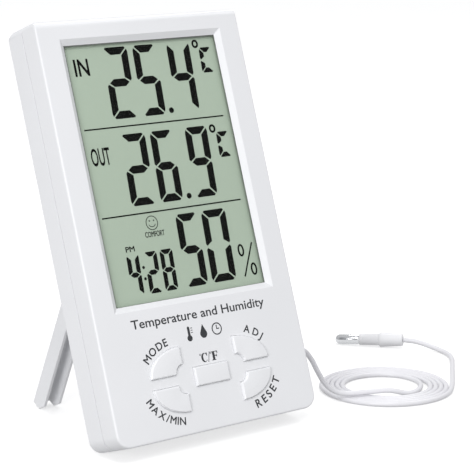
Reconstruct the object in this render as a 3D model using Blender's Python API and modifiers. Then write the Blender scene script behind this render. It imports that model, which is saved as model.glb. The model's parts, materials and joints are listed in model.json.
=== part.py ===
"""Desk thermometer with a fold-out stand, five sprung keys and an outdoor probe on a lead.

The case is drawn upright in its own frame and then leaned back on the stand. Lengths are in
millimetres. In the case frame X runs across the width, Y from the front face (0) to the back
(CASE_DEPTH) and Z from the bottom edge (0) to the top (CASE_HEIGHT). The row frame has its
origin at the centre of the footprint, on the table, with +Z up.
"""
import math

import bmesh
import bpy
from mathutils import Matrix, Vector

MM = 0.001
OBJECT_NAME = "maximum_minimum_thermometer"

# Case
CASE_WIDTH = 87.5
CASE_HEIGHT = 150.0
CASE_DEPTH = 18.8
CASE_LEAN = math.radians(19.14)
CASE_BACK_EDGE_Y = -22.45
PARTING_FRONT = 9.0
PARTING_REAR = 9.3
FRONT_WALL = 2.2
REAR_WALL = 1.8
SIDE_WALL = 2.0
HALF = CASE_WIDTH / 2
BACK_INSIDE = CASE_DEPTH - REAR_WALL
TOP_CORNER = 2.0
BOTTOM_CORNER = 5.0
FRONT_EDGE = 0.8
TOP_FRONT_EDGE = 3.0
REAR_EDGE = 0.6
TOP_REAR_EDGE = 4.5
ROUND_STEPS = 5
CLEARANCE = 0.3

# Display
WINDOW_HALF_WIDTH = 32.75
WINDOW_BOTTOM = 47.85
WINDOW_TOP = 140.75
WINDOW_CHAMFER = 2.1
CHAMFER_DEPTH = 1.6
LENS_FRONT = 1.9
LENS_BACK = 2.5
LENS_HALF_WIDTH = 35.0
LENS_BOTTOM = 45.5
LENS_TOP = 143.3
LCD_FRONT = 2.8
LCD_BACK = 4.4
LCD_HALF_WIDTH = 35.5
LCD_BOTTOM = 44.5
LCD_TOP = 144.5

# Keys
KEYS_CENTRE_Z = 19.4
KEY_PROUD = 1.0
KEY_TRAVEL = 0.8
KEY_HOLE_GAP = 0.35
KEY_FLANGE = 0.9
KEY_FLANGE_FRONT = FRONT_WALL + CLEARANCE
KEY_FLANGE_BACK = KEY_FLANGE_FRONT + 0.8
PETAL_INNER_X = 11.9
PETAL_WIDTH = 13.6
PETAL_HEIGHT = 9.2
PETAL_GAP = 4.2
PETAL_NOTCH = 3.3
UNIT_KEY_WIDTH = 14.3
UNIT_KEY_HEIGHT = 6.3
PETALS = {"key_mode": (-1, 1), "key_adjust": (1, 1), "key_max_min": (-1, -1), "key_reset": (1, -1)}

# Circuit board and what is on it
BOARD_FRONT = 6.7
BOARD_BACK = 7.5
BOARD_SCREWS = [(-32.5, 9.0), (32.5, 9.0), (-32.5, 38.0), (32.5, 38.0)]
CASE_SCREWS = [(-39.6, 8.0), (39.6, 8.0), (-39.6, 142.0), (39.6, 142.0)]
SCREW_RADIUS = 1.0
SCREW_HOLE_RADIUS = 1.3

# Battery, type AAA
CELL_RADIUS = 5.1
CELL_LENGTH = 44.5
CELL_Y = 11.8
CELL_Z = 104.0
BAY_HALF_WIDTH = 27.0
BAY_HALF_HEIGHT = 5.7
BAY_FLOOR = 5.7
CONTACT_THICKNESS = 0.35
DOOR_FRONT = CASE_DEPTH - 0.9
DOOR_HINGE_Z = CELL_Z - BAY_HALF_HEIGHT - 0.9
DOOR_TOP_Z = CELL_Z + BAY_HALF_HEIGHT + 2.2
DOOR_HALF_WIDTH = BAY_HALF_WIDTH + 1.6

# Fold-out stand: a frame of two channel legs below a round bar
STAND_PIVOT_Y = CASE_DEPTH - 2.3
STAND_PIVOT_Z = 79.5
STAND_FACE = 2.0
STAND_BAR_RADIUS = 2.0
STAND_SLOPE = math.radians(26.2)
STAND_OPENING = CASE_LEAN + STAND_SLOPE
LEG_OUTER_X = 28.0
LEG_INNER_X = 20.2
LEG_DEPTH = 6.7
LEG_WALL = 1.3
FOOT_FLAT = 4.3
FOOT_RISE = 2.9
SLOT_FLOOR = STAND_PIVOT_Y + STAND_FACE - LEG_DEPTH - 0.6

# Probe lead
LEAD_RADIUS = 1.0
LEAD_EXIT_Z = 22.0
SEAM_Y = (PARTING_FRONT + PARTING_REAR) / 2
COIL_CENTRE = (92.6, -23.3)
COIL_INNER = 14.9
COIL_OUTER = 26.8
COIL_HEIGHT = 2.0
LEAD_ROUTE = [
    (44.45, -24.45, 23.8), (47.2, -24.4, 23.65), (50.6, -24.3, 22.2), (54.0, -24.3, 18.5),
    (57.0, -24.6, 13.3), (60.0, -25.2, 8.45), (63.5, -26.4, 5.0), (67.5, -28.0, 3.6),
    (72.0, -29.8, 3.4), (76.5, -31.5, 3.4), (80.5, -33.0, 3.4), (84.0, -34.4, 3.3),
    (87.2, -35.5, 2.6), (90.5, -36.4, 1.6), (94.0, -36.8, 1.1), (97.4, -36.0, 1.02),
]
TAIL_ROUTE = [
    (118.9, -33.6, 1.02), (124.5, -27.8, 1.02), (130.0, -22.1, 1.02), (135.6, -16.3, 1.02),
    (141.0, -10.4, 1.02), (144.6, -4.6, 1.02), (146.1, 1.6, 1.2), (145.3, 7.4, 2.0),
    (143.0, 12.1, 3.1), (139.4, 16.74, 3.6),
]

# Probe at the end of the lead, measured back from the collar
PROBE_COLLAR = (133.8, 23.9, 3.15)
PROBE_HEADING = math.radians(128.0)
PROBE_DIP = math.radians(3.0)
COLLAR_RADIUS = 3.1
TIP_RADIUS = 2.05
SLEEVE_END = 9.6
NOSE_CENTRE = 17.8


def lean(case_y, case_z):
    """Row frame Y and Z of a point in the case frame."""
    back_edge_z = -REAR_EDGE * (math.cos(CASE_LEAN) + math.sin(CASE_LEAN) - 1)
    depth = case_y - CASE_DEPTH
    row_y = CASE_BACK_EDGE_Y + depth * math.cos(CASE_LEAN) + case_z * math.sin(CASE_LEAN)
    row_z = back_edge_z - depth * math.sin(CASE_LEAN) + case_z * math.cos(CASE_LEAN)
    return row_y, row_z


def stand_length():
    """Distance from the pivot to the flat of the foot, so that its front corner is on the table."""
    pivot_height = lean(STAND_PIVOT_Y, STAND_PIVOT_Z)[1]
    drop = (STAND_FACE - FOOT_FLAT) * math.sin(STAND_SLOPE)
    return (pivot_height + drop) / math.cos(STAND_SLOPE)


# ---------------------------------------------------------------- scene helpers

def clear_scene():
    for item in list(bpy.data.objects):
        bpy.data.objects.remove(item, do_unlink=True)


def new_collection(name):
    group = bpy.data.collections.new(name)
    bpy.context.scene.collection.children.link(group)
    return group


def new_material(name, colour, roughness, metallic=0.0, transmission=0.0):
    finish = bpy.data.materials.new(name)
    finish.use_nodes = True
    shader = finish.node_tree.nodes["Principled BSDF"]
    shader.inputs["Base Color"].default_value = (*colour, 1.0)
    shader.inputs["Roughness"].default_value = roughness
    shader.inputs["Metallic"].default_value = metallic
    shader.inputs["Transmission Weight"].default_value = transmission
    return finish


def empty(name, parent=None, location=(0, 0, 0), rotation=(0, 0, 0)):
    guide = bpy.data.objects.new(name, None)
    guide.parent = parent
    guide.location = Vector(location) * MM
    guide.rotation_euler = rotation
    PARTS.objects.link(guide)
    return guide


def node(name, bm, finish, parent=None, origin=(0, 0, 0), smooth=35):
    """One sub-part: its mesh is drawn in the parent's frame, about the given origin."""
    mesh = bpy.data.meshes.new(name)
    bmesh.ops.translate(bm, verts=bm.verts, vec=-Vector(origin))
    bmesh.ops.scale(bm, verts=bm.verts, vec=(MM, MM, MM))
    bm.to_mesh(mesh)
    bm.free()
    mesh.shade_smooth()
    mesh.set_sharp_from_angle(angle=math.radians(smooth))
    part = bpy.data.objects.new(name, mesh)
    part.data.materials.append(FINISHES[finish])
    part.parent = parent
    part.location = Vector(origin) * MM
    PARTS.objects.link(part)
    return part


def shape(part, operation, *pieces):
    """Join pieces to a part, or cut them from it, with one Boolean for the group."""
    mesh = bpy.data.meshes.new(part.name + "_" + operation.lower())
    bm = together(*pieces)
    bmesh.ops.translate(bm, verts=bm.verts, vec=-part.location / MM)
    bmesh.ops.scale(bm, verts=bm.verts, vec=(MM, MM, MM))
    bm.to_mesh(mesh)
    bm.free()
    tool = bpy.data.objects.new(mesh.name, mesh)
    tool.parent = part.parent
    tool.location = part.location
    tool.hide_render = True
    tool.display_type = "WIRE"
    CUTTERS.objects.link(tool)
    step = part.modifiers.new(operation.title(), "BOOLEAN")
    step.operation = operation
    step.object = tool
    step.solver = "EXACT"


def join(part, *pieces):
    shape(part, "UNION", *pieces)


def cut(part, *pieces):
    shape(part, "DIFFERENCE", *pieces)


# ---------------------------------------------------------------- solids, in millimetres

def together(*pieces):
    """Several separate solids as one mesh."""
    whole = bmesh.new()
    for piece in pieces:
        mesh = bpy.data.meshes.new("piece")
        piece.to_mesh(mesh)
        piece.free()
        whole.from_mesh(mesh)
        bpy.data.meshes.remove(mesh)
    return whole


def block(low, high):
    bm = bmesh.new()
    bmesh.ops.create_cube(bm, size=1.0)
    size = Vector(high) - Vector(low)
    middle = (Vector(high) + Vector(low)) / 2
    bmesh.ops.scale(bm, verts=bm.verts, vec=size)
    bmesh.ops.translate(bm, verts=bm.verts, vec=middle)
    return bm


def rod(start, end, radius, end_radius=None, segments=24):
    """A cylinder, or a cone when the end has its own radius."""
    start, end = Vector(start), Vector(end)
    bm = bmesh.new()
    bmesh.ops.create_cone(bm, cap_ends=True, segments=segments, radius1=radius,
                          radius2=radius if end_radius is None else end_radius,
                          depth=(end - start).length)
    turn = Vector((0, 0, 1)).rotation_difference(end - start).to_matrix()
    bmesh.ops.rotate(bm, verts=bm.verts, matrix=turn)
    bmesh.ops.translate(bm, verts=bm.verts, vec=(start + end) / 2)
    return bm


def plate(outline, front, back):
    """A flat outline in X and Z, thickened along Y from front to back."""
    curve = bpy.data.curves.new("outline", "CURVE")
    curve.dimensions = "2D"
    curve.fill_mode = "BOTH"
    curve.extrude = (back - front) / 2
    spline = curve.splines.new("POLY")
    spline.points.add(len(outline) - 1)
    for point, (x, z) in zip(spline.points, outline):
        point.co = (x, z, 0, 1)
    spline.use_cyclic_u = True
    holder = bpy.data.objects.new("outline", curve)
    CUTTERS.objects.link(holder)
    graph = bpy.context.evaluated_depsgraph_get()
    mesh = bpy.data.meshes.new_from_object(holder.evaluated_get(graph))
    bpy.data.objects.remove(holder)
    bm = bmesh.new()
    bm.from_mesh(mesh)
    bpy.data.meshes.remove(mesh)
    bmesh.ops.remove_doubles(bm, verts=bm.verts, dist=0.0001)
    bmesh.ops.rotate(bm, verts=bm.verts, matrix=Matrix.Rotation(math.pi / 2, 3, "X"))
    bmesh.ops.translate(bm, verts=bm.verts, vec=(0, (front + back) / 2, 0))
    return face_outwards(bm)


def face_outwards(bm):
    bmesh.ops.recalc_face_normals(bm, faces=bm.faces)
    if bm.calc_volume(signed=True) < 0:
        bmesh.ops.reverse_faces(bm, faces=bm.faces)
    return bm


def bevel(bm, width, segments, chosen):
    """Round the edges whose two ends both pass the test."""
    edges = [edge for edge in bm.edges if all(chosen(vert.co) for vert in edge.verts)]
    bmesh.ops.bevel(bm, geom=edges, offset=width, segments=segments, profile=0.5,
                    affect="EDGES", clamp_overlap=True)
    return bm


def turned(name, profile, finish, parent, location, rotation, steps=24):
    """A profile of (radius, height) pairs, listed down its outer side, turned about Z."""
    mesh = bpy.data.meshes.new(name)
    points = [(radius * MM, 0, height * MM) for radius, height in profile]
    mesh.from_pydata(points, [(i, i + 1) for i in range(len(points) - 1)], [])
    part = bpy.data.objects.new(name, mesh)
    part.data.materials.append(FINISHES[finish])
    part.parent = parent
    part.location = Vector(location) * MM
    part.rotation_euler = rotation
    screw = part.modifiers.new("Turn", "SCREW")
    screw.steps = steps
    screw.render_steps = steps
    screw.use_merge_vertices = True
    screw.merge_threshold = 0.00001
    screw.use_smooth_shade = True
    PARTS.objects.link(part)
    return part


def tube(name, route, radius, finish, parent=None, spacing=5.0):
    """A round lead along a smooth curve through the route's points."""
    points = smooth_points(route, spacing)
    curve = bpy.data.curves.new(name, "CURVE")
    curve.dimensions = "3D"
    curve.bevel_depth = radius * MM
    curve.bevel_resolution = 2
    curve.use_fill_caps = True
    spline = curve.splines.new("POLY")
    spline.points.add(len(points) - 1)
    for target, point in zip(spline.points, points):
        target.co = (*(point * MM), 1)
    part = bpy.data.objects.new(name, curve)
    part.data.materials.append(FINISHES[finish])
    part.parent = parent
    PARTS.objects.link(part)
    return part


def smooth_points(route, spacing):
    """Points every few millimetres along a Catmull-Rom curve through the route."""
    knots = [Vector(point) for point in route]
    knots = [2 * knots[0] - knots[1]] + knots + [2 * knots[-1] - knots[-2]]
    points = [knots[1]]
    for a, b, c, d in zip(knots, knots[1:], knots[2:], knots[3:]):
        steps = max(1, round((c - b).length / spacing))
        for step in range(1, steps + 1):
            t = step / steps
            points.append(0.5 * (2 * b + (c - a) * t + (2 * a - 5 * b + 4 * c - d) * t ** 2
                                 + (3 * b - a - 3 * c + d) * t ** 3))
    return points


# ---------------------------------------------------------------- case

def case_block(face, parting, edge):
    """A shell's outer block: the corners of its outline, then the small edge round its outer face."""
    front, back = sorted((face, parting))
    bm = block((-HALF, front, 0), (HALF, back, CASE_HEIGHT))
    for side in (-1, 1):
        bevel(bm, BOTTOM_CORNER, ROUND_STEPS, lambda co: co.z < 0.01 and co.x * side > 0)
        bevel(bm, TOP_CORNER, ROUND_STEPS, lambda co: co.z > CASE_HEIGHT - 0.01 and co.x * side > 0)
    return bevel(bm, edge, ROUND_STEPS, lambda co: abs(co.y - face) < 0.01)


def top_edge_waste(face, radius):
    """What the larger radius of the top edge takes off a shell's outer face."""
    inward = 1 if face < PARTING_FRONT else -1
    outside = face - inward
    centre = (face + inward * radius, CASE_HEIGHT - radius)
    rounding = arc(centre, (-inward * radius, radius), math.pi / 2, 0, ROUND_STEPS + 1)
    return side_plate(-HALF - 1, HALF + 1, rounding + [
        (outside, centre[1]), (outside, CASE_HEIGHT + 1), (centre[0], CASE_HEIGHT + 1)])


def window_cutters():
    """The display opening: a hole with a sloping lip at the front and a seat for the lens behind."""
    hole = block((-WINDOW_HALF_WIDTH, CHAMFER_DEPTH - 0.01, WINDOW_BOTTOM),
                 (WINDOW_HALF_WIDTH, FRONT_WALL + 1, WINDOW_TOP))
    lip = block((-WINDOW_HALF_WIDTH, 0, WINDOW_BOTTOM),
                (WINDOW_HALF_WIDTH, CHAMFER_DEPTH, WINDOW_TOP))
    seat_half = LENS_HALF_WIDTH + CLEARANCE
    seat = block((-seat_half, CHAMFER_DEPTH, LENS_BOTTOM - CLEARANCE),
                 (seat_half, FRONT_WALL + 1, LENS_TOP + CLEARANCE))
    middle = (WINDOW_BOTTOM + WINDOW_TOP) / 2
    for vert in lip.verts:
        if vert.co.y < 0.01:
            vert.co.y = -CHAMFER_DEPTH
            vert.co.x += math.copysign(2 * WINDOW_CHAMFER, vert.co.x)
            vert.co.z += math.copysign(2 * WINDOW_CHAMFER, vert.co.z - middle)
    return seat, hole, lip


def make_front_case(case):
    shell = node("front_case", case_block(0, PARTING_FRONT, FRONT_EDGE), "white_plastic", case)
    cut(shell, top_edge_waste(0, TOP_FRONT_EDGE))
    inside = block((-HALF + SIDE_WALL, FRONT_WALL, SIDE_WALL),
                   (HALF - SIDE_WALL, PARTING_FRONT + 1, CASE_HEIGHT - SIDE_WALL))
    cut(shell, inside)
    posts = [rod((x, FRONT_WALL - 1, z), (x, PARTING_FRONT, z), 2.6) for x, z in CASE_SCREWS]
    posts += [rod((x, FRONT_WALL - 1, z), (x, BOARD_FRONT - CLEARANCE, z), 2.1)
              for x, z in BOARD_SCREWS]
    join(shell, *posts)
    for cutter in window_cutters():
        cut(shell, cutter)
    holes = [rod((x, 4.0, z), (x, PARTING_FRONT + 1, z), SCREW_HOLE_RADIUS, segments=16)
             for x, z in CASE_SCREWS]
    holes += [rod((x, 3.2, z), (x, PARTING_FRONT, z), SCREW_HOLE_RADIUS, segments=16)
              for x, z in BOARD_SCREWS]
    holes += [plate(outline, -1, FRONT_WALL + 1) for outline in key_outlines(KEY_HOLE_GAP).values()]
    holes.append(lead_hole())
    cut(shell, *holes)


def lead_hole():
    return rod((HALF - SIDE_WALL - 1, SEAM_Y, LEAD_EXIT_Z), (HALF + 1, SEAM_Y, LEAD_EXIT_Z), 2.0)


def stand_slots():
    """The space that the folded stand takes: two leg slots and a pocket for the bar."""
    top = STAND_PIVOT_Z + STAND_BAR_RADIUS + CLEARANCE
    pocket_front = STAND_PIVOT_Y - STAND_BAR_RADIUS - 0.5
    pocket = block((-LEG_OUTER_X - CLEARANCE, pocket_front, STAND_PIVOT_Z - 10),
                   (LEG_OUTER_X + CLEARANCE, CASE_DEPTH + 1, top))
    slots = []
    for side in (-1, 1):
        near, far = sorted((side * (LEG_INNER_X - CLEARANCE), side * (LEG_OUTER_X + CLEARANCE)))
        slots.append(block((near, SLOT_FLOOR, -1), (far, CASE_DEPTH + 1, top)))
    pivots = rod((-LEG_OUTER_X - 3, STAND_PIVOT_Y, STAND_PIVOT_Z),
                 (LEG_OUTER_X + 3, STAND_PIVOT_Y, STAND_PIVOT_Z), 1.6)
    return pocket, slots, pivots


def stand_housing():
    """Walls inside the rear case around the folded stand."""
    outer = LEG_OUTER_X + 1.8
    inner = LEG_INNER_X - 1.5
    top = STAND_PIVOT_Z + 4.0
    walls = [block((-outer, STAND_PIVOT_Y - 3.7, STAND_PIVOT_Z - 11.2),
                   (outer, BACK_INSIDE + 1, top))]
    for side in (-1, 1):
        near, far = sorted((side * inner, side * outer))
        walls.append(block((near, SLOT_FLOOR - 1.2, SIDE_WALL + 0.3), (far, BACK_INSIDE + 1, top)))
    return walls


def battery_bay():
    wall = 1.2
    return block((-BAY_HALF_WIDTH - wall, BAY_FLOOR, CELL_Z - BAY_HALF_HEIGHT - wall),
                 (BAY_HALF_WIDTH + wall, BACK_INSIDE + 1, CELL_Z + BAY_HALF_HEIGHT + wall))


def battery_openings():
    bay = block((-BAY_HALF_WIDTH, BAY_FLOOR + 0.8, CELL_Z - BAY_HALF_HEIGHT),
                (BAY_HALF_WIDTH, CASE_DEPTH + 1, CELL_Z + BAY_HALF_HEIGHT))
    seat = block((-DOOR_HALF_WIDTH - CLEARANCE, DOOR_FRONT - CLEARANCE, DOOR_HINGE_Z - 1.2),
                 (DOOR_HALF_WIDTH + CLEARANCE, CASE_DEPTH + 2, DOOR_TOP_Z + CLEARANCE))
    tabs = block((-BAY_HALF_WIDTH - 3, 10.0, CELL_Z - 1.8), (BAY_HALF_WIDTH + 3, 12.4, CELL_Z + 1.8))
    return bay, seat, tabs


def keyhole():
    """Wall hook hole: a round entry with a narrow slot above it."""
    entry = rod((0, BACK_INSIDE - 1, 131), (0, CASE_DEPTH + 1, 131), 4.0)
    slot = block((-1.9, BACK_INSIDE - 0.9, 131), (1.9, CASE_DEPTH + 0.9, 138.5))
    return entry, slot


def make_rear_case(case):
    shell = node("rear_case", case_block(CASE_DEPTH, PARTING_REAR, REAR_EDGE), "white_plastic", case)
    cut(shell, top_edge_waste(CASE_DEPTH, TOP_REAR_EDGE))
    inside = block((-HALF + SIDE_WALL, PARTING_REAR - 1, SIDE_WALL),
                   (HALF - SIDE_WALL, BACK_INSIDE, CASE_HEIGHT - SIDE_WALL))
    cut(shell, inside)
    for wall in stand_housing():
        join(shell, wall)
    join(shell, battery_bay())
    pocket, slots, pivots = stand_slots()
    bay, seat, tabs = battery_openings()
    cut(shell, pocket)
    cut(shell, *slots)
    cut(shell, seat)
    cut(shell, bay)
    join(shell, *[rod((x, PARTING_REAR, z), (x, BACK_INSIDE + 1, z), 2.9, segments=20)
                  for x, z in CASE_SCREWS])
    entry, slot = keyhole()
    cut(shell, slot)
    vents = [block((-7, BACK_INSIDE - 1, z), (7, CASE_DEPTH + 1, z + 1.4))
             for z in (8, 11, 14, 17, 20)]
    shafts = [rod((x, PARTING_REAR - 1, z), (x, CASE_DEPTH + 1, z), SCREW_HOLE_RADIUS, segments=16)
              for x, z in CASE_SCREWS]
    cut(shell, entry, pivots, lead_hole(), *vents, *shafts)
    wells = [rod((x, 12.0, z), (x, CASE_DEPTH + 1, z), 2.4, segments=16) for x, z in CASE_SCREWS]
    cut(shell, tabs, *wells)


def make_screws(case):
    """Four long screws join the shells and four short ones hold the board."""
    head = [(0, 1.5), (1.6, 1.5), (2.0, 1.1), (2.0, 0)]
    facing_back = (-math.pi / 2, 0, 0)
    for number, (x, z) in enumerate(CASE_SCREWS, 1):
        shank = [(SCREW_RADIUS, 0), (SCREW_RADIUS, -6.6), (0, -7.6)]
        turned(f"case_screw_{number}", head + shank, "screw_steel", case, (x, 12.3, z),
               facing_back, 16)
    for number, (x, z) in enumerate(BOARD_SCREWS, 1):
        shank = [(SCREW_RADIUS, 0), (SCREW_RADIUS, -3.6), (0, -4.3)]
        turned(f"board_screw_{number}", head + shank, "screw_steel", case, (x, 7.8, z),
               facing_back, 16)


# ---------------------------------------------------------------- display

def make_display(case):
    lens = block((-LENS_HALF_WIDTH, LENS_FRONT, LENS_BOTTOM), (LENS_HALF_WIDTH, LENS_BACK, LENS_TOP))
    node("display_lens", lens, "clear_plastic", case)
    panel = block((-LCD_HALF_WIDTH, LCD_FRONT, LCD_BOTTOM), (LCD_HALF_WIDTH, LCD_BACK, LCD_TOP))
    node("lcd_glass", panel, "lcd_glass", case)
    behind = LCD_BACK + CLEARANCE
    strip_top = LCD_BOTTOM + 3.1
    frame_bottom = strip_top + 1.3
    retainer = block((-LCD_HALF_WIDTH - 1.1, behind, frame_bottom),
                     (LCD_HALF_WIDTH + 1.1, behind + 0.9, LCD_TOP + 0.5))
    frame = node("lcd_retainer", retainer, "white_plastic", case)
    cut(frame, block((-LCD_HALF_WIDTH + 4.5, behind - 1, frame_bottom + 3.1),
                     (LCD_HALF_WIDTH - 4.5, behind + 2, LCD_TOP - 6.5)))
    strip = block((-LCD_HALF_WIDTH + 3.5, behind, LCD_BOTTOM + 0.7),
                  (LCD_HALF_WIDTH - 3.5, BOARD_FRONT - CLEARANCE, strip_top))
    node("zebra_strip", strip, "rubber", case)


# ---------------------------------------------------------------- keys

def arc(centre, radii, start, end, count):
    """Points on a quarter or more of an ellipse, angles in radians."""
    angles = [start + (end - start) * i / (count - 1) for i in range(count)]
    return [(centre[0] + radii[0] * math.cos(a), centre[1] + radii[1] * math.sin(a)) for a in angles]


def petal_outline(side, level, grow):
    """A quarter of an oval with its inner corner scooped out, grown by a margin."""
    notch = PETAL_NOTCH - grow
    notch_end = math.asin(min(1.0, grow / notch))
    scoop = arc((0, 0), (notch, notch), math.pi / 2 + notch_end, -notch_end, 6)
    wide, high = PETAL_WIDTH + grow, PETAL_HEIGHT + grow
    oval = arc((0, 0), (wide, high), -math.asin(grow / high),
               math.pi / 2 + math.asin(grow / wide), 13)
    base_z = KEYS_CENTRE_Z + level * PETAL_GAP / 2
    return [(side * (PETAL_INNER_X + a), base_z + level * b) for a, b in scoop + oval]


def key_outlines(grow):
    outlines = {name: petal_outline(side, level, grow) for name, (side, level) in PETALS.items()}
    wide, high = UNIT_KEY_WIDTH / 2 + grow, UNIT_KEY_HEIGHT / 2 + grow
    corners = [(-wide, -high), (wide, -high), (wide, high), (-wide, high)]
    outlines["key_unit"] = [(x, KEYS_CENTRE_Z + z) for x, z in corners]
    return outlines


def key_centres():
    centres = {name: (side * (PETAL_INNER_X + 6.6), KEYS_CENTRE_Z + level * (PETAL_GAP / 2 + 4.2))
               for name, (side, level) in PETALS.items()}
    centres["key_unit"] = (0, KEYS_CENTRE_Z)
    return centres


def make_keys(case):
    flanges = key_outlines(KEY_FLANGE)
    centres = key_centres()
    for name, outline in key_outlines(0).items():
        cap = plate(outline, -KEY_PROUD, KEY_FLANGE_BACK - 0.3)
        bevel(cap, 0.45, 2, lambda co: co.y < -KEY_PROUD + 0.01)
        x, z = centres[name]
        key = node(name, cap, "white_plastic", case, origin=(x, 0, z))
        join(key, plate(flanges[name], KEY_FLANGE_FRONT, KEY_FLANGE_BACK))
    mat = node("key_mat", block((-28, 5.7, 6.0), (28, 6.4, 33)), "rubber", case)
    join(mat, *[rod((x, 6.1, z), (x, 4.4, z), 2.6, 1.9, 16) for x, z in centres.values()])


# ---------------------------------------------------------------- circuit board

def make_board(case):
    sheet = block((-36, BOARD_FRONT, 4.5), (36, BOARD_BACK, 52))
    board = node("main_board", sheet, "board_green", case)
    cut(board, *[rod((x, 5, z), (x, 9, z), SCREW_HOLE_RADIUS, segments=16) for x, z in BOARD_SCREWS])
    on_board = BOARD_BACK + CLEARANCE
    facing_back = (-math.pi / 2, 0, 0)
    dome = [(5.5 * math.sin(a), 1.4 * math.cos(a)) for a in (0, 0.4, 0.8, 1.2, math.pi / 2)]
    turned("chip_cover", [*dome, (0, 0)], "black_resin", case, (-4, on_board, 34), facing_back)
    crystal = bevel(rod((12, on_board + 1.1, 28), (12, on_board + 1.1, 34.2), 1.1, segments=16),
                    0.3, 2, lambda co: co.z > 34)
    node("quartz_crystal", crystal, "bright_steel", case)
    sensor = bevel(block((-6, on_board, 8), (6, on_board + 3.2, 21)), 0.5, 2,
                   lambda co: co.y > on_board + 3)
    node("humidity_sensor", sensor, "blue_plastic", case)
    round_side = [(1.3 * math.sin(a), 1.9 * math.cos(a)) for a in (0.5, 1, math.pi / 2, 2.1, 2.6)]
    bead = [(0, 1.9), *round_side, (0, -1.9)]
    turned("indoor_thermistor", bead, "black_resin", case, (-33, on_board + 1.4, 24), (0, 0, 0), 16)


# ---------------------------------------------------------------- battery

def spring_route(turns=3, radius=2.9, length=3.0, per_turn=10):
    start_x = -CELL_LENGTH / 2 - 0.4 - length
    count = turns * per_turn
    return [Vector((start_x + length * i / count,
                    CELL_Y + radius * math.cos(2 * math.pi * i / per_turn),
                    CELL_Z + radius * math.sin(2 * math.pi * i / per_turn))) for i in range(count + 1)]


def make_battery(case):
    half = CELL_LENGTH / 2
    cell = [(0, half), (1.9, half), (1.9, half - 0.8), (CELL_RADIUS - 0.5, half - 0.8),
            (CELL_RADIUS, half - 1.4), (CELL_RADIUS, -half + 0.6), (CELL_RADIUS - 0.6, -half),
            (0, -half)]
    turned("battery_cell", cell, "cell_wrap", case, (0.4, CELL_Y, CELL_Z), (0, math.pi / 2, 0), 28)
    spring = tube("battery_spring", spring_route(), 0.3, "bright_steel", case, spacing=9)
    spring.data.bevel_resolution = 1
    face = BAY_HALF_WIDTH - CLEARANCE
    for name, side in (("minus_contact", -1), ("plus_contact", 1)):
        low, high = sorted((side * face, side * (face - CONTACT_THICKNESS)))
        leaf = block((low, 7.6, CELL_Z - 4), (high, 16, CELL_Z + 4))
        contact = node(name, leaf, "bright_steel", case)
        tab_low, tab_high = sorted((side * (face - 0.2), side * (face + 3.4)))
        join(contact, block((tab_low, 11.0, CELL_Z - 1.2), (tab_high, 11.4, CELL_Z + 1.2)))
    for name, side, finish in (("battery_wire_minus", -1, "black_wire"),
                               ("battery_wire_plus", 1, "red_wire")):
        route = [(30.0, 11.9, 102.6), (31.2, 11.9, 99), (32.6, 11.8, 90), (33.2, 11.4, 76),
                 (32.8, 10.4, 62), (32.0, 8.8, 52), (31.4, 8.5, 46)]
        tube(name, [(side * x, y, z) for x, y, z in route], 0.6, finish, case, spacing=3.5)
    hinge = empty("battery_door_hinge", case, (0, (DOOR_FRONT + CASE_DEPTH) / 2, DOOR_HINGE_Z))
    make_battery_door(hinge)


def make_battery_door(hinge):
    """A thin lid that swings out about its lower edge, with a finger catch along the top."""
    half_depth = (CASE_DEPTH - DOOR_FRONT) / 2
    height = DOOR_TOP_Z - DOOR_HINGE_Z
    lid = block((-DOOR_HALF_WIDTH, -half_depth, -half_depth), (DOOR_HALF_WIDTH, half_depth, height))
    door = node("battery_door", lid, "white_plastic", hinge)
    grooves = [height - 5.2 + 1.5 * i for i in range(3)]
    cut(door, *[block((-7, half_depth - 0.3, z), (7, half_depth + 1, z + 0.6)) for z in grooves])


# ---------------------------------------------------------------- stand

def leg_profile():
    """The side view of a folded leg, as (Y, Z) from the pivot, with the foot's corner cut off."""
    back = STAND_FACE
    front = STAND_FACE - LEG_DEPTH
    foot = -stand_length()
    return [(back, -1.5), (back, foot), (back - FOOT_FLAT, foot), (front, foot + FOOT_RISE),
            (front, -3.4), (front + 1.6, -1.5)]


def side_plate(near_x, far_x, profile):
    """A side profile in Y and Z, thickened along X."""
    bm = plate([(y, z) for y, z in profile], near_x, far_x)
    turn = Matrix(((0, 1, 0), (1, 0, 0), (0, 0, 1)))
    for vert in bm.verts:
        vert.co = turn @ vert.co
    return face_outwards(bm)


def channel_profile():
    """The hollow of a leg, open towards the case and at the foot, in the leg's side view."""
    deep = STAND_FACE - LEG_WALL
    front = STAND_FACE - LEG_DEPTH - 1
    foot = -stand_length() - 1
    return [(deep, -8), (deep, foot), (front, foot), (front, -8)]


def make_stand(case):
    pivot = empty("stand_pivot", case, (0, STAND_PIVOT_Y, STAND_PIVOT_Z), (STAND_OPENING, 0, 0))
    bar = rod((-LEG_OUTER_X - 1.3, 0, 0), (LEG_OUTER_X + 1.3, 0, 0), 1.3)
    stand = node("stand_frame", bar, "white_plastic", pivot)
    join(stand, rod((-LEG_OUTER_X, 0, 0), (LEG_OUTER_X, 0, 0), STAND_BAR_RADIUS))
    join(stand, block((-LEG_INNER_X - 1, 0.4, -8.5), (LEG_INNER_X + 1, STAND_FACE, -0.2)))
    for side in (-1, 1):
        near, far = sorted((side * LEG_INNER_X, side * LEG_OUTER_X))
        join(stand, side_plate(near, far, leg_profile()))
    for side in (-1, 1):
        near, far = sorted((side * (LEG_INNER_X + LEG_WALL), side * (LEG_OUTER_X - LEG_WALL)))
        cut(stand, side_plate(near, far, channel_profile()))


# ---------------------------------------------------------------- lead and probe

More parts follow.
